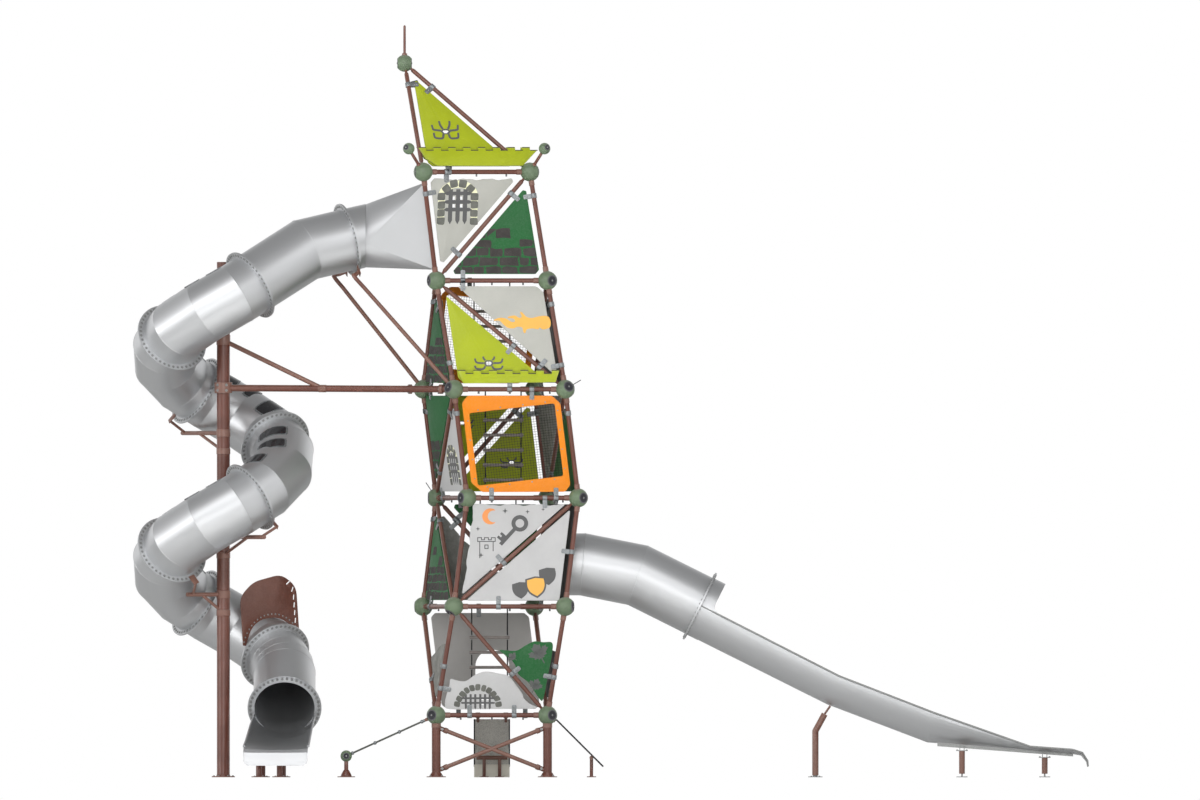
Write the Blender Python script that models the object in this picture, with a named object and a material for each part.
"""Playground climbing tower with five storeys, a spiral tube slide and a straight tube slide.

Metres, +Z up, the front faces -Y. Every object hangs from one empty, SITE, which stands at the foot
of the tower's axis, so positions below are measured from that axis. The part's own origin is the
middle of its base.
"""
import math

import bmesh
import bpy
from mathutils import Matrix, Vector

for leftover in list(bpy.data.objects):
    bpy.data.objects.remove(leftover, do_unlink=True)

# Place of the tower's axis in the part's frame
TOWER_X = -1.5301
TOWER_Y = 0.2784

# Tower: equal edges, and rings that step sideways by the lean from one storey to the next
EDGE = 1.434
STOREY = 1.40
FIRST_RING_Z = 0.80
LEAN = 0.284
LEAN_ANGLE = math.radians(-36.5)
APEX = Vector((-1.125, -0.228, 9.20))
FLAG_TOP = 9.69

# Frame members
BALL_RADIUS = 0.122
SMALL_BALL_RADIUS = 0.075
TUBE_RADIUS = 0.030
DIAGONAL_RADIUS = 0.028
STUB_LENGTH = 0.150
LEG_RADIUS = 0.057
FOOT_RADIUS = 0.125
PLATE_HEIGHT = 0.012
BRACE_RADIUS = 0.027

# Panels, the clamps behind them, floors
PANEL = 0.019
PANEL_MARGIN = 0.085
CORNER_CUT = 0.055
STRIP = 0.012
STRIP_LIFT = 0.040
CLAMP_WIDTH = 0.060
CLAMP_PLATE = 0.008
CLAMP_REACH = 0.135
QUAD_CLAMPS = ((0, 0.3), (0, 0.7), (2, 0.5))
FLOOR = 0.020
FLOOR_MARGIN = 0.100
HATCH = 0.56
ROPE_RADIUS = 0.010
RUNG_RADIUS = 0.018
RUNG_STEP = 0.193
LADDER_WIDTH = 0.46

# Slides
TUBE_OUTER = 0.400
TUBE_INNER = 0.388
FLANGE_OUTER = 0.477
FLANGE = 0.012
TUBE_SIDES = 12
COLUMN = Vector((-3.460, -0.044, 0.0))
COLUMN_RADIUS = 0.084
COLUMN_TOP = 6.640
TURN_RADIUS = 0.750
QUARTER_DROP = 0.683
SECOND_FLANGE_ANGLE = math.radians(-62.4)
SECOND_FLANGE_Z = 6.343
QUARTER_TURNS = 7

GAP = 0.0003
UP = Vector((0.0, 0.0, 1.0))


def finish(name, colour, roughness, metallic=0.0):
    """A plain Principled material."""
    material = bpy.data.materials.new(name)
    material.use_nodes = True
    shader = material.node_tree.nodes["Principled BSDF"]
    shader.inputs["Base Color"].default_value = (*colour, 1.0)
    shader.inputs["Roughness"].default_value = roughness
    shader.inputs["Metallic"].default_value = metallic
    return material


BROWN = (0.165, 0.075, 0.055)
LIME = (0.48, 0.56, 0.045)
GREEN = (0.037, 0.175, 0.065)
LIGHT_GREY = (0.54, 0.54, 0.50)
WHITE = (0.66, 0.66, 0.66)
DARK_GREY = (0.055, 0.055, 0.057)
ORANGE = (0.87, 0.33, 0.026)
STEEL = (0.56, 0.57, 0.58)
STONE_GREY = (0.22, 0.22, 0.20)
RUBBER = (0.26, 0.26, 0.24)

SITE = bpy.data.objects.new("site", None)
bpy.context.scene.collection.objects.link(SITE)
SITE.location = (TOWER_X, TOWER_Y, 0.0)


def place(name, mesh, collection=None):
    """An object under the site's empty."""
    item = bpy.data.objects.new(name, mesh)
    (collection or bpy.context.scene.collection).objects.link(item)
    item.parent = SITE
    return item


def combine(body, operation, meshes):
    """A Boolean of the body with all the meshes, which stay as hidden helpers."""
    group = bpy.data.collections.new(f"{body.name}_{operation.lower()}")
    bpy.context.scene.collection.children.link(group)
    for count, mesh in enumerate(meshes):
        helper = place(f"{body.name}_{operation.lower()}_{count}", mesh, group)
        helper.hide_render = True
        helper.display_type = "WIRE"
    modifier = body.modifiers.new(operation.title(), "BOOLEAN")
    modifier.operation = operation
    modifier.operand_type = "COLLECTION"
    modifier.collection = group
    modifier.solver = "EXACT"


def solid(name, meshes, material, cutters=(), wall=None):
    """One named object from overlapping meshes, less its cutters.

    With a wall, the first mesh is an open skin that is thickened inwards.
    """
    body = place(name, meshes[0])
    body.data.materials.clear()
    body.data.materials.append(material)
    if wall:
        thicken = body.modifiers.new("Wall", "SOLIDIFY")
        thicken.thickness = wall
        thicken.offset = -1.0
        thicken.use_even_offset = True
    if len(meshes) > 1:
        combine(body, "UNION", meshes[1:])
    if cutters:
        combine(body, "DIFFERENCE", cutters)
    return body


def to_mesh(bm, label):
    """The bmesh as a mesh with its faces pointing out."""
    bmesh.ops.recalc_face_normals(bm, faces=bm.faces)
    mesh = bpy.data.meshes.new(label)
    bm.to_mesh(mesh)
    bm.free()
    return mesh


def bridge(bm, rings, around=True):
    """Faces between each ring of vertices and the next one."""
    count = len(rings[0])
    steps = count if around else count - 1
    for near, far in zip(rings, rings[1:]):
        for k in range(steps):
            after = (k + 1) % count
            bm.faces.new((near[k], near[after], far[after], far[k]))


def stations(path, first_normal=None, last_normal=None):
    """Point, mitre normal, direction and cross axes at each point of a path of straight runs."""
    points = [Vector(point) for point in path]
    runs = [(b - a).normalized() for a, b in zip(points, points[1:])]
    reference = UP if abs(runs[0].z) < 0.9 else Vector((0.0, 1.0, 0.0))
    side = runs[0].cross(reference).normalized()
    top = side.cross(runs[0]).normalized()
    result = []
    for index, point in enumerate(points):
        before = runs[max(index - 1, 0)]
        after = runs[min(index, len(runs) - 1)]
        normal = (before + after).normalized()
        if index == 0 and first_normal:
            normal = first_normal
        if index == len(points) - 1 and last_normal:
            normal = last_normal
        result.append((point, normal, before, side.copy(), top.copy()))
        turn = before.rotation_difference(after)
        side.rotate(turn)
        top.rotate(turn)
    return result


def ring(station, radius, sides):
    """Points of a round section, slid along the run on to the mitre plane."""
    point, normal, run, side, top = station
    result = []
    for k in range(sides):
        angle = 2.0 * math.pi * (k + 0.5) / sides
        offset = (side * math.cos(angle) + top * math.sin(angle)) * radius
        result.append(point + offset - run * (offset.dot(normal) / run.dot(normal)))
    return result


def bar(path, radius, sides=6, end_radius=None):
    """A solid round bar along a path of straight runs, which may taper."""
    bm = bmesh.new()
    places = stations(path)
    rings = []
    for index, station in enumerate(places):
        share = index / (len(places) - 1)
        size = radius + ((end_radius or radius) - radius) * share
        rings.append([bm.verts.new(p) for p in ring(station, size, sides)])
    bridge(bm, rings)
    bm.faces.new(rings[0])
    bm.faces.new(rings[-1])
    return to_mesh(bm, "bar")


def ball(centre, radius, segments=8, rows=5):
    bm = bmesh.new()
    bmesh.ops.create_uvsphere(bm, u_segments=segments, v_segments=rows, radius=radius)
    bmesh.ops.translate(bm, verts=bm.verts, vec=centre)
    return to_mesh(bm, "ball")


def block(centre, size, axes=None):
    """A box with its length, width and height along three axes."""
    bm = bmesh.new()
    bmesh.ops.create_cube(bm, size=1.0)
    bmesh.ops.scale(bm, verts=bm.verts, vec=size)
    turn = Matrix(axes).transposed().to_4x4() if axes else Matrix.Identity(4)
    bmesh.ops.transform(bm, verts=bm.verts, matrix=Matrix.Translation(centre) @ turn)
    return to_mesh(bm, "block")


def slab(outline, normal, thickness, lift=0.0):
    """A flat plate with this outline as its middle plane, moved by lift along the normal."""
    bm = bmesh.new()
    low = [bm.verts.new(p + normal * (lift - thickness / 2)) for p in outline]
    face = bm.faces.new(low)
    top = bmesh.ops.extrude_face_region(bm, geom=[face])["geom"]
    moved = [item for item in top if isinstance(item, bmesh.types.BMVert)]
    bmesh.ops.translate(bm, verts=moved, vec=normal * thickness)
    return to_mesh(bm, "slab")


# Rings of the tower

def lean_by(angle):
    return Vector((LEAN * math.cos(angle), LEAN * math.sin(angle), 0.0))


LEAN_A = lean_by(LEAN_ANGLE)
LEAN_B = lean_by(LEAN_ANGLE - math.pi / 2)
CORNERS = ("FL", "FR", "BR", "BL")
HALF = EDGE / 2
SQUARE = {
    "FL": Vector((-HALF, -HALF, 0.0)),
    "FR": Vector((HALF, -HALF, 0.0)),
    "BR": Vector((HALF, HALF, 0.0)),
    "BL": Vector((-HALF, HALF, 0.0)),
}
SHIFTS = (
    {corner: Vector((0.0, 0.0, 0.0)) for corner in CORNERS},
    {"FL": LEAN_A, "FR": LEAN_A, "BR": LEAN_B, "BL": LEAN_B},
    {"FL": LEAN_A - LEAN_B, "FR": LEAN_A - LEAN_B, "BR": 0 * LEAN_A, "BL": 0 * LEAN_A},
    {"FL": LEAN_A, "FR": LEAN_A, "BR": LEAN_B, "BL": LEAN_B},
    {corner: Vector((0.0, 0.0, 0.0)) for corner in CORNERS},
    {"FL": LEAN_B, "BL": LEAN_B, "FR": -LEAN_A, "BR": -LEAN_A},
)
NODE = {
    (level, corner): SQUARE[corner] + SHIFTS[level][corner] + UP * (FIRST_RING_Z + STOREY * level)
    for level in range(len(SHIFTS))
    for corner in CORNERS
}
FRAMES = ("base_frame", "storey_1_frame", "storey_2_frame", "storey_3_frame", "storey_4_frame",
          "top_frame")
FRAME_PIECES = {name: [] for name in FRAMES}

# Diagonals of each storey, from a ring to the next ring up
DIAGONALS = (
    (("FR", "FL"), ("FL", "BL"), ("FR", "BR")),
    (("FL", "FR"), ("FL", "BL"), ("BR", "BL")),
    (("BL", "FL"), ("BL", "BR"), ("BR", "FR")),
    (("FR", "FL"), ("FL", "BL"), ("BR", "FR")),
    (("FL", "FR"), ("BL", "BR")),
)


def centre_of(points):
    total = Vector((0.0, 0.0, 0.0))
    for point in points:
        total += point
    return total / len(points)


def outward_normal(points):
    """Unit normal of a face of the tower, away from the tower's middle."""
    normal = (points[1] - points[0]).cross(points[2] - points[0]).normalized()
    middle = centre_of(points)
    level = round((middle.z - FIRST_RING_Z) / STOREY - 0.5)
    core = centre_of([NODE[(level + rise, corner)] for rise in (0, 1) for corner in CORNERS])
    return normal if normal.dot(middle - core) > 0 else -normal


def owner(key_a, key_b):
    """The frame that owns the tube between two balls."""
    return FRAMES[max(key_a[0], key_b[0])]


def tower_frames():
    """Balls, ring tubes, posts and diagonals, one frame for each ring."""
    for level in range(len(SHIFTS)):
        pieces = FRAME_PIECES[FRAMES[level]]
        for index, corner in enumerate(CORNERS):
            here = NODE[(level, corner)]
            beside = NODE[(level, CORNERS[(index + 1) % 4])]
            pieces.append(ball(here, BALL_RADIUS))
            pieces.append(bar([here, beside], TUBE_RADIUS))
    for level, diagonals in enumerate(DIAGONALS):
        runs = [(corner, corner, TUBE_RADIUS) for corner in CORNERS]
        runs += [(low, high, DIAGONAL_RADIUS) for low, high in diagonals]
        for low, high, radius in runs:
            foot = NODE[(level, low)]
            head = NODE[(level + 1, high)]
            run = (head - foot).normalized()
            stub_end = foot + run * STUB_LENGTH
            FRAME_PIECES[FRAMES[level]].append(bar([foot, stub_end], radius))
            FRAME_PIECES[FRAMES[level + 1]].append(bar([stub_end + run * GAP, head], radius))


def clamp(key_a, key_b, share, middle, outward):
    """A flat clamp plate on the tube between two balls, behind the panel's inner face."""
    start = NODE[key_a]
    end = NODE[key_b]
    along = (end - start).normalized()
    root = start.lerp(end, share)
    inward = middle - root
    inward -= along * inward.dot(along) + outward * inward.dot(outward)
    inward.normalize()
    back = PANEL / 2 + GAP + CLAMP_PLATE / 2
    centre = root + inward * (CLAMP_REACH / 2) - outward * back
    plate = block(centre, (CLAMP_WIDTH, CLAMP_REACH, CLAMP_PLATE), (along, inward, outward))
    FRAME_PIECES[owner(key_a, key_b)].append(plate)


def inset(points, normal, margin, cut):
    """The outline of a panel inside its tubes, with its corners cut off near the balls."""
    count = len(points)
    middle = centre_of(points)
    corners = []
    for k in range(count):
        here = points[k]
        lines = []
        for other in (points[k - 1], points[(k + 1) % count]):
            run = (other - here).normalized()
            inward = run.cross(normal)
            if inward.dot(middle - here) < 0:
                inward = -inward
            lines.append((run, inward))
        (run_a, in_a), (run_b, in_b) = lines
        reach_a = margin / run_a.dot(in_b)
        reach_b = margin / run_b.dot(in_a)
        corners.append(here + run_a * reach_a + run_b * reach_b)
    outline = []
    for k in range(count):
        here = corners[k]
        back = (corners[k - 1] - here).normalized()
        ahead = (corners[(k + 1) % count] - here).normalized()
        outline += [here + back * cut, here + ahead * cut]
    return outline


def full_panel(name, keys, material, clamps, cutters=()):
    """A panel that fills its face. Clamps are (edge number, share along the edge)."""
    points = [NODE[key] for key in keys]
    normal = outward_normal(points)
    outline = inset(points, normal, PANEL_MARGIN, CORNER_CUT)
    hold(keys, points, normal, clamps)
    return solid(name, [slab(outline, normal, PANEL)], material, cutters)


def hold(keys, points, normal, clamps, middle=None):
    for edge, share in clamps:
        clamp(keys[edge], keys[(edge + 1) % len(keys)], share, middle or centre_of(points), normal)


def on_face(points, normal, flat):
    """Front-view points (x, z) on the plane of a face."""
    origin = points[0]
    result = []
    for x, z in flat:
        y = origin.y - (normal.x * (x - origin.x) + normal.z * (z - origin.z)) / normal.y
        result.append(Vector((x, y, z)))
    return result


def battlement(points, normal, flat, spacers):
    """Strip plate in front of a sail and its tubes, on two spacers."""
    pieces = [slab(on_face(points, normal, flat), normal, STRIP, lift=STRIP_LIFT)]
    along = UP.cross(normal).normalized()
    depth = STRIP_LIFT - 0.004
    for spot in on_face(points, normal, spacers):
        centre = spot + normal * (0.004 + depth / 2)
        pieces.append(block(centre, (0.05, 0.05, depth), (along, normal.cross(along), normal)))
    return pieces


def shaped_panel(name, keys, flat, material, clamps, cutters=(), strip=None):
    """A panel with its own outline, given as front-view points (x, z)."""
    points = [NODE[key] for key in keys]
    normal = outward_normal(points)
    outline = on_face(points, normal, flat)
    hold(keys, points, normal, clamps, centre_of(outline))
    pieces = [slab(outline, normal, PANEL)]
    if strip:
        pieces += battlement(points, normal, *strip)
    return solid(name, pieces, material, cutters)


def window(name, keys, material, clamps):
    """A window frame with a sparse net across its opening."""
    points = [NODE[key] for key in keys]
    normal = outward_normal(points)
    low_left, low_right, high_right, high_left = points
    outline = inset(points, normal, PANEL_MARGIN, 0.10)
    hold(keys, points, normal, clamps)

    def across(u, v):
        return low_left.lerp(low_right, u).lerp(high_left.lerp(high_right, u), v)

    opening = [across(u, v) for u, v in ((0.11, 0.11), (0.89, 0.19), (0.89, 0.88), (0.11, 0.79))]
    pane = slab(outline, normal, PANEL)
    hole = slab(opening, normal, 4 * PANEL)
    frame = solid(name, [pane], material, [hole])
    threads = []
    for k in range(1, 4):
        share = k / 4
        u = 0.11 + 0.78 * share
        foot = across(u, 0.11 + 0.08 * share - 0.03)
        threads.append(bar([foot, across(u, 0.79 + 0.09 * share + 0.03)], 0.003, 4))
        left = across(0.08, 0.11 + 0.68 * share)
        threads.append(bar([left, across(0.92, 0.19 + 0.69 * share)], 0.0025, 4))
    combine(frame, "UNION", threads)
    return frame


# Storeys

def storey_1(materials):
    front_low = [(0, "FL"), (0, "FR"), (1, "FL")]
    gate = [(-0.604, 0.938), (-0.535, 0.878), (0.558, 0.888), (0.408, 1.019), (0.397, 1.065),
            (0.213, 1.305), (-0.029, 1.358), (-0.133, 1.353), (-0.236, 1.307), (-0.328, 1.243),
            (-0.432, 1.243), (-0.530, 1.266), (-0.547, 1.180)]
    shaped_panel("storey_1_gate_panel", front_low, gate, materials["white"],
                 [(0, 0.3), (0, 0.7), (2, 0.75)])
    front_high = [(1, "FR"), (1, "FL"), (0, "FR")]
    leaf = [(0.097, 1.640), (0.213, 1.548), (0.293, 1.456), (0.339, 1.330), (0.466, 1.226),
            (0.615, 1.008), (0.661, 1.008), (0.776, 1.594), (0.776, 1.732), (0.546, 1.750),
            (0.431, 1.698), (0.305, 1.629)]
    shaped_panel("storey_1_leaf_panel", front_high, leaf, materials["green"],
                 [(1, 0.62), (2, 0.35)])
    left = [(-0.600, 1.725), (-0.660, 1.690), (-0.715, 1.610), (-0.775, 1.545), (-0.752, 1.300),
            (-0.722, 1.050), (-0.709, 1.030)]
    shaped_panel("storey_1_left_panel", [(0, "FL"), (1, "FL"), (1, "BL")], left,
                 materials["stone"], [(0, 0.45), (2, 0.68)])
    back = [(0, "BL"), (0, "BR"), (1, "BR"), (1, "BL")]
    door_middle = Vector((0.006, HALF, 1.0))
    doorway = [
        block(door_middle, (0.437, 1.0, 0.90)),
        bar([door_middle + Vector((0.0, -0.5, 0.44)), door_middle + Vector((0.0, 0.5, 0.44))],
            0.215, 16),
    ]
    full_panel("storey_1_door_panel", back, materials["door"],
               [(0, 0.2), (0, 0.8), (2, 0.5)], doorway)
    right = [(0.822, 1.620), (0.765, 1.640), (0.710, 1.570), (0.660, 1.500), (0.695, 1.200),
             (0.712, 1.030), (0.729, 1.030)]
    shaped_panel("storey_1_right_panel", [(0, "FR"), (1, "FR"), (1, "BR")], right,
                 materials["dark"], [(0, 0.45), (2, 0.68)])


def storey_2(materials):
    full_panel("storey_2_front_panel_high", [(1, "FL"), (2, "FR"), (2, "FL")], materials["white"],
               [(0, 0.4), (1, 0.3)])
    full_panel("storey_2_front_panel_low", [(1, "FL"), (1, "FR"), (2, "FR")], materials["white"],
               [(0, 0.4), (1, 0.5)])
    full_panel("storey_2_left_brick_panel", [(1, "BL"), (1, "FL"), (2, "BL")], materials["green"],
               [(0, 0.5), (1, 0.5)])
    full_panel("storey_2_back_grey_panel", [(1, "BL"), (1, "BR"), (2, "BL")], materials["stone"],
               [(0, 0.5), (1, 0.5)])
    full_panel("storey_2_back_panel", [(1, "BR"), (2, "BR"), (2, "BL")], materials["green"],
               [(0, 0.5), (1, 0.5)])
    slide_mouth = bar([(0.3, SLIDE_Y, SLIDE_Z), (1.4, SLIDE_Y, SLIDE_Z)], TUBE_INNER, TUBE_SIDES)
    full_panel("storey_2_slide_plate", SLIDE_FACE, materials["dark"],
               QUAD_CLAMPS, [slide_mouth])


def storey_3(materials):
    window("storey_3_front_window", [(2, "FL"), (2, "FR"), (3, "FR"), (3, "FL")],
           materials["orange"], QUAD_CLAMPS)
    full_panel("storey_3_left_brick_panel", [(2, "BL"), (3, "FL"), (3, "BL")], materials["green"],
               [(0, 0.5), (1, 0.5)])
    full_panel("storey_3_left_gate_panel", [(2, "BL"), (2, "FL"), (3, "FL")], materials["white"],
               [(0, 0.5), (1, 0.5)])
    full_panel("storey_3_back_panel_low", [(2, "BL"), (2, "BR"), (3, "BR")], materials["lime"],
               [(0, 0.5), (1, 0.5)])
    full_panel("storey_3_back_panel_high", [(2, "BL"), (3, "BR"), (3, "BL")], materials["lime"],
               [(0, 0.5), (1, 0.5)])
    full_panel("storey_3_right_grey_panel", [(2, "BR"), (3, "FR"), (3, "BR")], materials["stone"],
               [(0, 0.5), (1, 0.5)])
    full_panel("storey_3_right_green_panel", [(2, "BR"), (2, "FR"), (3, "FR")],
               materials["green"], [(0, 0.5), (1, 0.5)])


def storey_4(materials):
    sail = [(-0.592, 6.201), (-0.435, 5.143), (-0.362, 5.085), (0.730, 5.085), (0.578, 5.209)]
    strip = [(-0.441, 5.205), (0.872, 5.205), (0.820, 5.085), (-0.369, 5.070)]
    shaped_panel("storey_4_sail_panel", [(3, "FL"), (3, "FR"), (4, "FL")], sail,
                 materials["lime"], [(0, 0.5), (1, 0.4)],
                 strip=(strip, [(-0.25, 5.135), (0.50, 5.135)]))
    flame = [(-0.441, 6.326), (0.571, 6.326), (0.663, 6.254), (0.834, 5.235), (0.795, 5.195)]
    shaped_panel("storey_4_flame_panel", [(4, "FL"), (4, "FR"), (3, "FR")], flame,
                 materials["light"], [(0, 0.5), (1, 0.5)])
    full_panel("storey_4_left_brick_panel", [(3, "BL"), (3, "FL"), (4, "BL")],
               materials["green"], [(0, 0.5), (1, 0.5)])
    full_panel("storey_4_left_green_panel", [(3, "FL"), (4, "FL"), (4, "BL")],
               materials["green"], [(0, 0.5), (1, 0.5)])
    window("storey_4_back_window", [(3, "BR"), (3, "BL"), (4, "BL"), (4, "BR")],
           materials["orange"], QUAD_CLAMPS)
    full_panel("storey_4_right_panel_low", [(3, "BR"), (3, "FR"), (4, "FR")], materials["dark"],
               [(0, 0.5), (1, 0.5)])
    full_panel("storey_4_right_panel_high", [(3, "BR"), (4, "FR"), (4, "BR")], materials["dark"],
               [(0, 0.5), (1, 0.5)])


def storey_5(materials):
    for side, left, right in (("front", "FL", "FR"), ("back", "BL", "BR")):
        full_panel(f"storey_5_{side}_gate_panel", [(4, left), (5, right), (5, left)],
                   materials["light"], [(0, 0.5), (1, 0.5)])
        full_panel(f"storey_5_{side}_brick_panel", [(4, left), (4, right), (5, right)],
                   materials["green"], [(0, 0.5), (1, 0.5)])
    full_panel("storey_5_right_panel", [(4, "FR"), (4, "BR"), (5, "BR"), (5, "FR")],
               materials["light"], QUAD_CLAMPS)


def roof(materials):
    """Two sails between the apex and the top ring, with the roof's tubes, horns and flag."""
    pieces = FRAME_PIECES["top_frame"]
    NODE[(5, "APEX")] = APEX
    pieces.append(ball(APEX, 0.110))
    for corner in CORNERS:
        top = NODE[(5, corner)]
        pieces.append(bar([top, APEX], DIAGONAL_RADIUS))
        outward = Vector((-0.185 if "L" in corner else 0.190, -0.185 if "F" in corner else 0.185,
                          0.300))
        pieces.append(bar([top, top + outward], 0.020))
        pieces.append(ball(top + outward, SMALL_BALL_RADIUS, 6, 4))
    pole_top = Vector((APEX.x, APEX.y, FLAG_TOP))
    pieces.append(bar([APEX, pole_top], 0.016, 6))
    flag = [pole_top + Vector((0.0, y, z)) for y, z in
            ((0.010, -0.02), (0.010, -0.25), (0.170, -0.21), (0.330, -0.25), (0.330, -0.02),
             (0.170, -0.01))]
    pieces.append(slab(flag, Vector((1.0, 0.0, 0.0)), 0.008))
    for side, left, right in (("front", "FL", "FR"), ("back", "BL", "BR")):
        keys = [(5, left), (5, right), (5, "APEX")]
        points = [NODE[key] for key in keys]
        normal = (points[1] - points[0]).cross(points[2] - points[0]).normalized()
        if normal.y * (points[0].y - APEX.y) < 0:
            normal = -normal
        outline = inset(points, normal, PANEL_MARGIN, CORNER_CUT)
        hold(keys, points, normal, [(0, 0.5), (1, 0.5)])
        strip = [(-0.959, 8.066), (-0.867, 7.954), (-0.716, 7.860), (0.388, 7.860),
                 (0.514, 7.998), (0.572, 8.075)]
        pieces = [slab(outline, normal, PANEL)]
        pieces += battlement(points, normal, strip, [(-0.60, 7.96), (0.15, 7.96)])
        solid(f"roof_{side}_sail", pieces, materials["lime"])


def base():
    """Legs with conical feet, round base plates and crossed braces on all four sides."""
    pieces = FRAME_PIECES["base_frame"]
    for index, corner in enumerate(CORNERS):
        head = NODE[(0, corner)]
        foot = Vector((head.x, head.y, 0.0))
        pieces.append(bar([foot + UP * 0.004, head], LEG_RADIUS, 8))
        pieces.append(bar([foot, foot + UP * PLATE_HEIGHT], FOOT_RADIUS, 8))
        pieces.append(bar([foot + UP * 0.006, foot + UP * 0.11], 0.090, 8, LEG_RADIUS + 0.006))
        beside = NODE[(0, CORNERS[(index + 1) % 4])]
        for low, high in ((0.10, 0.63), (0.63, 0.10)):
            start = Vector((head.x, head.y, low))
            end = Vector((beside.x, beside.y, high))
            pieces.append(bar([start, end], BRACE_RADIUS, 6))
    for key, point in NET_ENDS:
        run = (point - NODE[key]).normalized()
        pieces.append(bar([NODE[key], NODE[key] + run * STUB_LENGTH], 0.022, 6))
    for start, end in RAMP_HANGERS:
        pieces.append(bar([start, end], 0.020, 6))


def floors(material):
    """A rubber floor with a hatch at each ring, and a rope ladder hanging below each hatch."""
    for level, shift in enumerate(LADDER_X):
        points = [NODE[(level, corner)] for corner in CORNERS]
        middle = centre_of(points)
        lift = -(CLAMP_PLATE + 0.010 + GAP) + FLOOR / 2
        pieces = [slab(inset(points, UP, FLOOR_MARGIN, 0.05), UP, FLOOR, lift)]
        for index, corner in enumerate(CORNERS):
            start, end = points[index], points[(index + 1) % 4]
            along = (end - start).normalized()
            root = start.lerp(end, 0.5)
            inward = UP.cross(along)
            if inward.dot(middle - root) < 0:
                inward = -inward
            centre = root + inward * 0.085 + UP * (lift - FLOOR / 2 - GAP - CLAMP_PLATE / 2)
            FRAME_PIECES[FRAMES[level]].append(
                block(centre, (CLAMP_WIDTH, 0.17, CLAMP_PLATE), (along, inward, UP)))
        cutters = []
        if level > 0:
            back = middle.y + HATCH / 2
            centre = Vector((shift, middle.y, middle.z))
            cutters.append(block(centre, (HATCH, HATCH, 0.2)))
            rope_y = back + 0.035
            foot = middle.z - STOREY + 0.22
            for side in (-1, 1):
                x = shift + side * LADDER_WIDTH / 2
                pieces.append(bar([(x, rope_y, foot), (x, rope_y, middle.z + lift)],
                                  ROPE_RADIUS, 4))
            for step in range(5):
                z = foot + 0.05 + RUNG_STEP * step
                ends = [(shift + side * (LADDER_WIDTH / 2 + 0.03), rope_y, z) for side in (-1, 1)]
                pieces.append(bar(ends, RUNG_RADIUS, 5))
        solid(f"floor_{level}", pieces, material, cutters)


LADDER_X = (0.0, -0.030, 0.080, 0.146, 0.0)

# Straight slide
SLIDE_Y = -0.0844
SLIDE_Z = 2.744
SLIDE_FACE = [(1, "FR"), (1, "BR"), (2, "BR"), (2, "FR")]
SLIDE_BENDS = ((1.171, 2.744), (1.881, 2.603), (2.679, 2.205))
CHUTE_BOTTOM = ((4.320, 0.945), (5.611, 0.455), (6.933, 0.350), (7.481, 0.305))
CHUTE_DEPTHS = (0.42, 0.41, 0.045, 0.05)


def tube(name, path, material, first_normal=None, last_normal=None, first_flange=FLANGE_OUTER,
         extra=(), cutters=()):
    """A round slide section with mitred bends and a flange at each end."""
    points = [Vector(point) for point in path]
    first_run = (points[1] - points[0]).normalized()
    last_run = (points[-1] - points[-2]).normalized()
    start = points[0] + first_run * FLANGE
    end = points[-1] - last_run * FLANGE
    places = stations([points[0], start, *points[1:-1], end, points[-1]])
    if first_normal:
        places[0] = (places[0][0], first_normal, *places[0][2:])
        places[1] = (places[1][0], first_normal, *places[1][2:])
    if last_normal:
        places[-1] = (places[-1][0], last_normal, *places[-1][2:])
        places[-2] = (places[-2][0], last_normal, *places[-2][2:])
    skins = [(places[0], first_flange), (places[1], first_flange), (places[1], TUBE_OUTER)]
    skins += [(station, TUBE_OUTER) for station in places[2:-2]]
    skins += [(places[-2], TUBE_OUTER), (places[-2], FLANGE_OUTER), (places[-1], FLANGE_OUTER)]
    skins += [(places[-1], TUBE_INNER)]
    skins += [(station, TUBE_INNER) for station in reversed(places[2:-2])]
    skins += [(places[0], TUBE_INNER)]
    bm = bmesh.new()
    rings = [[bm.verts.new(p) for p in ring(station, radius, TUBE_SIDES)]
             for station, radius in skins]
    bridge(bm, rings + [rings[0]])
    return solid(name, [to_mesh(bm, "tube"), *extra], material, cutters)


def trough(places, side):
    """Open skin of a chute. A place is bottom point, rise direction, half width and depth."""
    bm = bmesh.new()
    rings = []
    steps = 8
    for bottom, rise, half_width, depth in places:
        row = []
        for k in range(steps + 1):
            angle = math.pi * k / steps
            point = bottom + side * (half_width * math.cos(angle))
            row.append(bm.verts.new(point + rise * (depth * (1.0 - math.sin(angle)))))
        rings.append(row)
    bridge(bm, rings, around=False)
    mesh = bpy.data.meshes.new("trough")
    bm.to_mesh(mesh)
    bm.free()
    return mesh


def edge_bars(places, side, radius):
    """Round rails along both edges of a trough."""
    bars = []
    for sign in (-1, 1):
        path = [bottom + side * (sign * half_width) + rise * depth
                for bottom, rise, half_width, depth in places]
        bars.append(bar(path, radius, 6))
    return bars


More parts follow.
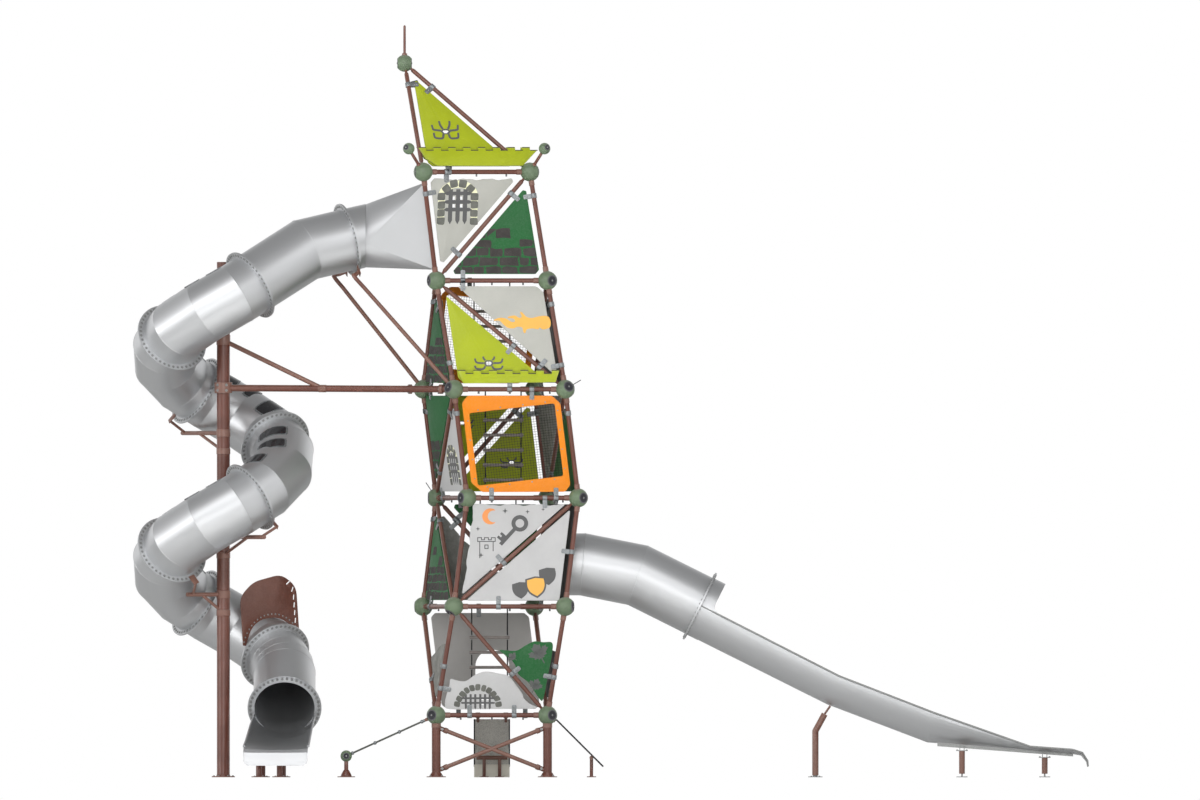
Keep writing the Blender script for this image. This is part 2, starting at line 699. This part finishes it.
def straight_slide(materials):
    points = [NODE[key] for key in SLIDE_FACE]
    normal = outward_normal(points)
    axis = Vector((0.0, SLIDE_Y, SLIDE_Z))
    clear = PANEL / 2 + GAP
    x_start = ((points[0] - axis).dot(normal) + clear) / normal.x
    path = [Vector((x_start, SLIDE_Y, SLIDE_Z))]
    path += [Vector((x, SLIDE_Y, z)) for x, z in SLIDE_BENDS]
    tube("straight_slide_tube", path, materials["steel"], first_normal=normal, first_flange=0.45)

    joint = path[-1]
    run = (path[-1] - path[-2]).normalized()
    rise = Vector((-run.z, 0.0, run.x))
    collar_start = joint + run * GAP
    side = Vector((0.0, 1.0, 0.0))
    places = [(collar_start + run * 0.006 - rise * 0.394, rise, 0.394, 0.43)]
    bottoms = [Vector((x, SLIDE_Y, z)) for x, z in CHUTE_BOTTOM]
    trail = [places[0][0], *bottoms]
    for index, depth in enumerate(CHUTE_DEPTHS):
        here = bottoms[index]
        before = (here - trail[index]).normalized()
        after = (bottoms[index + 1] - here).normalized() if index < 3 else before
        mean = (before + after).normalized()
        places.append((here, Vector((-mean.z, 0.0, mean.x)), 0.394, depth))
    lip = bottoms[-1]
    places.append((lip + Vector((0.110, 0.0, -0.020)), Vector((0.5, 0.0, 0.866)), 0.385, 0.035))
    places.append((lip + Vector((0.175, 0.0, -0.100)), Vector((0.94, 0.0, 0.34)), 0.375, 0.020))
    places.append((lip + Vector((0.190, 0.0, -0.165)), Vector((1.0, 0.0, 0.0)), 0.365, 0.010))
    extra = edge_bars(places[:5], side, 0.020)
    collar = stations([collar_start, collar_start + run * FLANGE, collar_start + run * 0.17])
    skins = [(collar[0], FLANGE_OUTER), (collar[1], FLANGE_OUTER), (collar[1], 0.404),
             (collar[2], 0.404), (collar[2], 0.382), (collar[0], 0.382)]
    bm = bmesh.new()
    rings = [[bm.verts.new(p) for p in ring(station, radius, TUBE_SIDES)]
             for station, radius in skins]
    bridge(bm, rings + [rings[0]])
    extra.append(to_mesh(bm, "collar"))
    curved_leg = [(4.168, SLIDE_Y, 0.005), (4.168, SLIDE_Y, 0.576), (4.295, SLIDE_Y, 0.848),
                  (4.370, SLIDE_Y, 0.930)]
    extra.append(bar(curved_leg, 0.048))
    extra.append(bar([(4.168, SLIDE_Y, 0.0), (4.168, SLIDE_Y, PLATE_HEIGHT)], 0.11, 10))
    for x, top in ((6.057, 0.470), (7.123, 0.345)):
        for offset in (-0.20, 0.20):
            y = SLIDE_Y + offset
            extra.append(bar([(x, y, 0.005), (x, y, top)], 0.038, 6))
            extra.append(bar([(x, y, 0.0), (x, y, PLATE_HEIGHT)], 0.085, 6))
    solid("straight_slide_chute", [trough(places, side), *extra], materials["steel"], wall=0.010)


# Spiral slide

def helix_point(angle, radius, height):
    return COLUMN + Vector((radius * math.cos(angle), radius * math.sin(angle), height))


def heading(angle):
    """Level direction of travel, clockwise seen from above."""
    return Vector((math.sin(angle), -math.cos(angle), 0.0))


def flange_place(number):
    """Centre and angle of a flange from the second one down."""
    turned = math.pi / 2 * (number - 2)
    angle = SECOND_FLANGE_ANGLE - turned
    return helix_point(angle, TURN_RADIUS, SECOND_FLANGE_Z - QUARTER_DROP * (number - 2)), angle


MITRE = math.radians(15.0)
STRAIGHT_RUN = 0.921
FIRST_FLANGE = Vector((-1.867, -0.173, 6.923))
HOOD_CIRCLE = Vector((-1.629, -0.100, 6.976))
OUTLET_RUNS = ((27.6, 0.132), (18.4, 0.132), (9.2, 0.132), (0.0, 0.700))
OUTLET_Z = 0.893
LAST_FLANGE_NUMBER = 2 + QUARTER_TURNS


def helix_run(angle):
    """Direction of travel of the spiral at a flange."""
    level = heading(angle) * (TURN_RADIUS * math.tan(MITRE))
    return (level - UP * (QUARTER_DROP / 6)).normalized()


def spiral_bend():
    """Mitre between the hood's fall and the spiral's fall."""
    second, angle = flange_place(2)
    return second - helix_run(angle) * STRAIGHT_RUN


def trimmed(path, start=True, end=True):
    """The path with a hair's gap at its ends, where the next section's flange begins."""
    points = [Vector(point) for point in path]
    if start:
        points[0] = points[0] + (points[1] - points[0]).normalized() * (GAP / 2)
    if end:
        points[-1] = points[-1] - (points[-1] - points[-2]).normalized() * (GAP / 2)
    return points


def outlet_path():
    start, _ = flange_place(LAST_FLANGE_NUMBER)
    total = sum(length for _, length in OUTLET_RUNS)
    path = [start]
    for degrees, length in OUTLET_RUNS:
        turn = math.radians(degrees)
        level = Vector((math.sin(turn), -math.cos(turn), 0.0)) * length
        path.append(path[-1] + level - UP * ((start.z - OUTLET_Z) * length / total))
    return path


def quarter_path(number):
    """Path of the quarter turn below a flange, with three mitres."""
    start, angle = flange_place(number)
    path = [start]
    for share in (1, 3, 5):
        height = start.z - QUARTER_DROP * share / 6
        path.append(helix_point(angle - share * MITRE, TURN_RADIUS / math.cos(MITRE), height))
    path.append(flange_place(number + 1)[0])
    return path


def spiral_slide(materials):
    steel = materials["steel"]
    hood(steel)
    second, _ = flange_place(2)
    tube("spiral_section_1", trimmed([FIRST_FLANGE, spiral_bend(), second]), steel)
    for number in range(2, LAST_FLANGE_NUMBER):
        tube(f"spiral_section_{number}", trimmed(quarter_path(number)), steel)
    outlet(steel)
    shield(materials["brown"])


def hood(material):
    """Square-to-round hood on the left face of the top storey, ending in the first flange."""
    keys = [(4, "FL"), (4, "BL"), (5, "BL"), (5, "FL")]
    points = [NODE[key] for key in keys]
    normal = outward_normal(points)
    hold(keys, points, normal, QUAD_CLAMPS)
    rim = inset(points, normal, PANEL_MARGIN, CORNER_CUT)
    square = inset(points, normal, PANEL_MARGIN + 0.055, 0.0)[::2]
    run = (FIRST_FLANGE - HOOD_CIRCLE).normalized()
    short_tube = stations([HOOD_CIRCLE, FIRST_FLANGE])
    bm = bmesh.new()
    circle = [bm.verts.new(p) for p in ring(short_tube[0], TUBE_OUTER - 0.003, 16)]
    corners = [bm.verts.new(p) for p in square]
    middle = HOOD_CIRCLE
    chosen = []
    for vert in circle:
        offset = (vert.co - middle).normalized()
        reach = [offset.dot((corner.co - middle - run * run.dot(corner.co - middle)).normalized())
                 for corner in corners]
        chosen.append(reach.index(max(reach)))
    for k, vert in enumerate(circle):
        after = circle[(k + 1) % len(circle)]
        here, there = chosen[k], chosen[(k + 1) % len(circle)]
        bm.faces.new((vert, after, corners[here]))
        if here != there:
            bm.faces.new((after, corners[there], corners[here]))
    bmesh.ops.recalc_face_normals(bm, faces=bm.faces)
    skin_normal = bm.faces[0].normal.copy()
    if skin_normal.dot(bm.faces[0].calc_center_median() - middle.lerp(centre_of(square), 0.5)) < 0:
        bmesh.ops.reverse_faces(bm, faces=bm.faces)
    transition = bpy.data.meshes.new("transition")
    bm.to_mesh(transition)
    bm.free()
    plate = slab(rim, normal, 0.010)
    start = HOOD_CIRCLE - run * 0.010
    fall = (spiral_bend() - FIRST_FLANGE).normalized()
    end = FIRST_FLANGE - fall * (GAP / 2)
    neck = stations([start, end - run * FLANGE, end])
    neck[1:] = [(point, fall, *rest) for point, _, *rest in neck[1:]]
    skins = [(neck[0], TUBE_OUTER + 0.002), (neck[1], TUBE_OUTER + 0.002),
             (neck[1], FLANGE_OUTER), (neck[2], FLANGE_OUTER), (neck[2], TUBE_INNER),
             (neck[0], TUBE_INNER)]
    bm = bmesh.new()
    rings = [[bm.verts.new(p) for p in ring(station, radius, TUBE_SIDES)]
             for station, radius in skins]
    bridge(bm, rings + [rings[0]])
    mouth = inset(points, normal, PANEL_MARGIN + 0.055 + 0.014, 0.0)[::2]
    opening = slab(mouth, normal, 0.030)
    solid("spiral_hood", [transition, plate, to_mesh(bm, "neck")], material, [opening],
          wall=0.012)


def outlet(material):
    """Last bend of the spiral with an open tray on two feet."""
    path = outlet_path()
    end = path[-1]
    tray_start = end + Vector((0.0, 0.006, 0.0))
    side = Vector((1.0, 0.0, 0.0))
    drift = Vector((-0.117, 0.0, 0.0))
    rows = ((0.0, 0.0, 0.499, 0.394, 0.394), (0.35, -0.40, 0.420, 0.397, 0.330),
            (0.75, -0.85, 0.345, 0.408, 0.130), (0.93, -1.06, 0.318, 0.415, 0.035),
            (0.98, -1.13, 0.300, 0.415, 0.030), (1.0, -1.20, 0.235, 0.410, 0.020),
            (1.0, -1.215, 0.160, 0.400, 0.010))
    rises = (UP, UP, UP, UP, Vector((0.0, -0.5, 0.866)), Vector((0.0, -0.94, 0.34)),
             Vector((0.0, -1.0, 0.0)))
    places = []
    for (share, forward, height, half_width, depth), rise in zip(rows, rises):
        bottom = Vector((end.x, tray_start.y + forward, height)) + drift * share
        places.append((bottom, rise, half_width, depth))
    extra = edge_bars(places[:4], side, 0.018)
    for x in (-2.925, -2.690):
        y = end.y - 1.02
        extra.append(bar([(x, y, 0.005), (x, y, 0.335)], 0.050))
        extra.append(bar([(x, y, 0.0), (x, y, PLATE_HEIGHT)], 0.095, 8))
    tray = place("outlet_tray_skin", trough(places, side))
    tray.hide_render = True
    tray.display_type = "WIRE"
    thicken = tray.modifiers.new("Wall", "SOLIDIFY")
    thicken.thickness = 0.010
    thicken.offset = 1.0
    body = tube("spiral_outlet", trimmed(path, end=False), material,
                first_normal=helix_run(flange_place(LAST_FLANGE_NUMBER)[1]),
                last_normal=Vector((0.0, -1.0, 0.0)), extra=extra)
    body.modifiers[0].collection.objects.link(tray)


def shield(material):
    """Upright plate over the last flange that keeps climbers off the tube."""
    centre, angle = flange_place(LAST_FLANGE_NUMBER)
    level = heading(angle)
    side = level.cross(UP)
    middle = centre - level * 0.05
    outline = []
    half, low, high, corner = 0.37, 0.16, 1.02, 0.13
    lean = -0.10
    for sx, base_z in ((1, high), (-1, high)):
        for step in range(4):
            turn = math.radians(30.0 * step)
            a = turn if sx > 0 else math.pi / 2 + turn
            u = sx * (half - corner) + corner * math.cos(a)
            v = base_z - corner + corner * math.sin(a)
            outline.append(middle + side * (u + lean * v) + UP * v)
    outline.append(middle + side * (-half + lean * low) + UP * low)
    outline.append(middle + side * (half + lean * low) + UP * low)
    cutter = bar(quarter_path(LAST_FLANGE_NUMBER - 1), TUBE_OUTER + 1.3 * GAP, TUBE_SIDES)
    solid("spiral_shield", [slab(outline, level, 0.012)], material, [cutter])


def slide_column(material):
    """Column with arms to three flanges, two tie beams to the tower and their braces."""
    pieces = [bar([COLUMN + UP * 0.005, COLUMN + UP * COLUMN_TOP], COLUMN_RADIUS, 10)]
    pieces.append(bar([COLUMN, COLUMN + UP * 0.015], 0.15, 8))
    pieces.append(bar([COLUMN + UP * 4.95, COLUMN + UP * 5.09], 0.115, 10))
    tie_z = 5.016
    for corner in ("FL", "BL"):
        node = NODE[(3, corner)]
        hub = COLUMN + UP * tie_z
        run = (node - hub).normalized()
        stub = node - run * (STUB_LENGTH + 0.03)
        FRAME_PIECES["storey_3_frame"].append(bar([node, stub], 0.044))
        pieces.append(bar([hub, stub - run * GAP], 0.043))
        meet = hub + run * ((node - hub).length * 0.43)
        pieces.append(bar([COLUMN + UP * 5.63, meet], 0.030))
    for number, reach, height, foot, angle_out in ((4, 1.14, 4.435, 4.20, 33.0),
                                                   (6, 1.14, 3.095, 2.86, 33.0),
                                                   (7, 0.53, 2.355, 2.12, -24.0)):
        centre, angle = flange_place(number)
        radial = Vector((math.cos(angle), math.sin(angle), 0.0))
        run = helix_run(angle)
        upward = radial.cross(run)
        upward = upward if upward.z > 0 else -upward
        out = math.radians(angle_out)
        toward = radial * math.sin(out) - upward * math.cos(out)
        across = run.cross(toward)
        lift = FLANGE + GAP * 1.5 + 0.004
        plate_centre = centre + toward * 0.490 - run * lift
        pieces.append(block(plate_centre, (0.13, 0.09, 0.008), (toward, across, run)))
        arm_start = COLUMN + UP * height
        arm_end = arm_start + radial * reach
        pieces.append(bar([arm_start, arm_end], 0.028))
        pieces.append(bar([COLUMN + UP * foot, arm_start + radial * (reach * 0.6)], 0.020, 6))
        riser_foot = arm_start + radial * (reach - 0.09)
        riser_head = centre + toward * 0.535 - run * lift
        pieces.append(bar([riser_foot, riser_head], 0.018, 6))
    solid("slide_column", pieces, material)


def slide_struts():
    """Two struts from the third ring's left balls to a bracket plate at the first flange."""
    run = (spiral_bend() - FIRST_FLANGE).normalized()
    side = run.cross(UP).normalized()
    upward = side.cross(run)
    lift = FLANGE + GAP * 1.5 + 0.004
    pieces = FRAME_PIECES["storey_3_frame"]
    for corner, sign in (("FL", -1.0), ("BL", 1.0)):
        out = (side * sign * math.sin(0.6) - upward * math.cos(0.6)).normalized()
        if out.y * sign < 0:
            out = (-side * sign * math.sin(0.6) - upward * math.cos(0.6)).normalized()
        across = run.cross(out)
        centre = FIRST_FLANGE + out * 0.490 + run * lift
        pieces.append(block(centre, (0.13, 0.09, 0.008), (out, across, run)))
        pieces.append(bar([NODE[(3, corner)], FIRST_FLANGE + out * 0.545 + run * lift], 0.026))


# Ways up to the first ring

NET_FEET = (Vector((-1.877, -0.60, 0.274)), Vector((-1.877, 0.60, 0.274)))
NET_ENDS = (((0, "FL"), NET_FEET[0]), ((0, "BL"), NET_FEET[1]))
RAMP_WIDTH = 0.46
RAMP_HANGERS = (
    (Vector((HALF, -0.18, FIRST_RING_Z)), Vector((0.815, -0.18, 0.718))),
    (Vector((HALF, 0.18, FIRST_RING_Z)), Vector((0.815, 0.18, 0.718))),
    (Vector((-0.18, HALF, FIRST_RING_Z)), Vector((-0.18, 0.815, 0.718))),
    (Vector((0.18, HALF, FIRST_RING_Z)), Vector((0.18, 0.815, 0.718))),
)


def net(material):
    """Inclined rope net between the first ring's left balls and two small feet."""
    pieces = []
    sides = []
    for key, foot in NET_ENDS:
        head = NODE[key]
        run = (foot - head).normalized()
        start = head + run * (STUB_LENGTH + GAP)
        pieces.append(ball(foot, 0.074, 6, 4))
        pieces.append(bar([start, foot], 0.012, 4))
        ground = Vector((foot.x, foot.y, 0.0))
        pieces.append(bar([ground + UP * 0.005, foot], 0.027, 6))
        pieces.append(bar([ground, ground + UP * PLATE_HEIGHT], 0.115, 8))
        pieces.append(bar([ground + UP * 0.006, ground + UP * 0.09], 0.075, 8, 0.034))
        sides.append((head, foot))
    for share in (0.16, 0.41, 0.68, 0.93):
        front = sides[0][0].lerp(sides[0][1], share)
        back = sides[1][0].lerp(sides[1][1], share)
        pieces.append(bar([front, back], 0.011, 4))
    for place_across in (0.25, 0.5, 0.75):
        top = sides[0][0].lerp(sides[0][1], 0.14).lerp(sides[1][0].lerp(sides[1][1], 0.14),
                                                      place_across)
        low = sides[0][0].lerp(sides[0][1], 0.95).lerp(sides[1][0].lerp(sides[1][1], 0.95),
                                                      place_across)
        pieces.append(bar([top, low], 0.0105, 4))
    solid("left_net", pieces, material)


def ramp(name, outward, material):
    """Rubber ramp from the first ring to the ground, on a bar with two legs."""
    across = UP.cross(outward)
    slope = (outward - UP).normalized()
    rise = (outward + UP).normalized()
    top = outward * 0.815 + UP * 0.718
    length = 0.86
    centre = top + slope * (length / 2 - 0.010) + rise * (0.0075 + 0.020 + GAP)
    pieces = [block(centre, (length, RAMP_WIDTH, 0.015), (slope, across, rise))]
    bar_at = outward * 1.283
    z = 0.252
    pieces.append(bar([bar_at - across * 0.20 + UP * z, bar_at + across * 0.20 + UP * z], 0.026))
    for sign in (-1, 1):
        leg = bar_at + across * (0.10 * sign)
        pieces.append(bar([leg + UP * 0.005, leg + UP * z], 0.022))
        pieces.append(bar([leg, leg + UP * PLATE_HEIGHT], 0.060, 8))
    solid(name, pieces, material)


def build():
    brown = finish("brown_paint", BROWN, 0.45)
    panels = {
        "white": finish("white_panel", WHITE, 0.5),
        "light": finish("light_grey_panel", LIGHT_GREY, 0.5),
        "green": finish("green_panel", GREEN, 0.5),
        "lime": finish("lime_panel", LIME, 0.5),
        "dark": finish("dark_panel", DARK_GREY, 0.5),
        "stone": finish("stone_grey_panel", STONE_GREY, 0.6),
        "door": finish("door_panel", STONE_GREY, 0.5),
        "orange": finish("orange_panel", ORANGE, 0.4),
        "steel": finish("brushed_steel", STEEL, 0.3, 1.0),
        "brown": brown,
    }
    rubber = finish("rubber", RUBBER, 0.8)
    tower_frames()
    storey_1(panels)
    storey_2(panels)
    storey_3(panels)
    storey_4(panels)
    storey_5(panels)
    roof(panels)
    floors(rubber)
    base()
    slide_struts()
    slide_column(brown)
    for name in FRAMES:
        solid(name, FRAME_PIECES[name], brown)
    straight_slide(panels)
    spiral_slide(panels)
    net(rubber)
    ramp("right_ramp", Vector((1.0, 0.0, 0.0)), rubber)
    ramp("rear_ramp", Vector((0.0, 1.0, 0.0)), rubber)


build()
